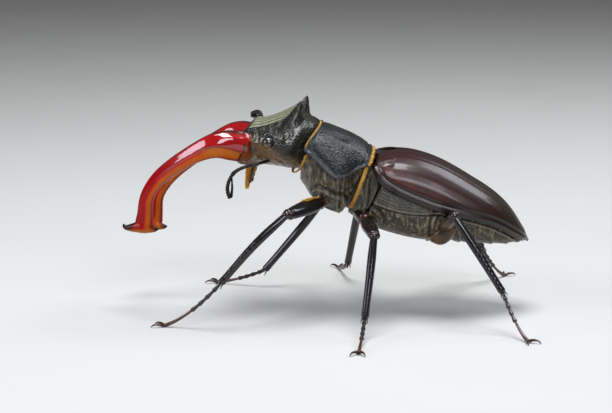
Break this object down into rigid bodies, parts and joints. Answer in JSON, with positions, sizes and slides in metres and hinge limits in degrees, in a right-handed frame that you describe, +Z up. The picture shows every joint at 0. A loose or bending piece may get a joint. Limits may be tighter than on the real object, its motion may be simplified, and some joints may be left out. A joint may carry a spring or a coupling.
{
  "type": "stag beetle",
  "caption": "Large male stag beetle standing with its head raised, long branched mandibles curving forwards and down, elytra closed.",
  "frame": {"origin": "middle of the overall box, on the floor under the feet", "axes": "+Z up, the head points to -X, the beetle's left side faces -Y"},
  "size_m": [0.0733, 0.075, 0.0379],
  "materials": {
    "elytra": "dark maroon-brown, almost black, satin gloss with fine pits",
    "pronotum": "charcoal black, finely granular with a glossy edge bead",
    "head": "charcoal to brown black, granular, ridges glossy",
    "underside": "grey-brown with a fine short down",
    "coxa": "dark reddish brown, polished",
    "mandible": "deep crimson turning orange-amber on the lower side, polished, tips almost black",
    "eye": "dark brown, polished, finely faceted",
    "leg": "glossy black",
    "mouth": "golden amber bristles"
  },
  "bodies": {
    "root": {"scutellum": "pronotum", "elytron_left": "elytra", "elytron_right": "elytra", "pronotum": "pronotum", "prothorax": "underside", "mesothorax": "underside", "metathorax": "underside", "abdomen": "underside", "head": "head", "labrum": "head", "mouth_brush": "mouth", "eye_left": "eye", "mandible_left": "mandible", "antenna_scape_left": "leg", "antenna_club_left": "leg", "palp_left": "leg", "eye_right": "eye", "mandible_right": "mandible", "antenna_scape_right": "leg", "antenna_club_right": "leg", "palp_right": "leg", "coxa_front_left": "coxa", "femur_front_left": "leg", "tibia_front_left": "leg", "tarsus_front_left": "leg", "coxa_front_right": "coxa", "femur_front_right": "leg", "tibia_front_right": "leg", "tarsus_front_right": "leg", "coxa_mid_left": "coxa", "femur_mid_left": "leg", "tibia_mid_left": "leg", "tarsus_mid_left": "leg", "coxa_mid_right": "coxa", "femur_mid_right": "leg", "tibia_mid_right": "leg", "tarsus_mid_right": "leg", "coxa_hind_left": "coxa", "femur_hind_left": "leg", "tibia_hind_left": "leg", "tarsus_hind_left": "leg", "coxa_hind_right": "coxa", "femur_hind_right": "leg", "tibia_hind_right": "leg", "tarsus_hind_right": "leg"}
  },
  "joints": []
}
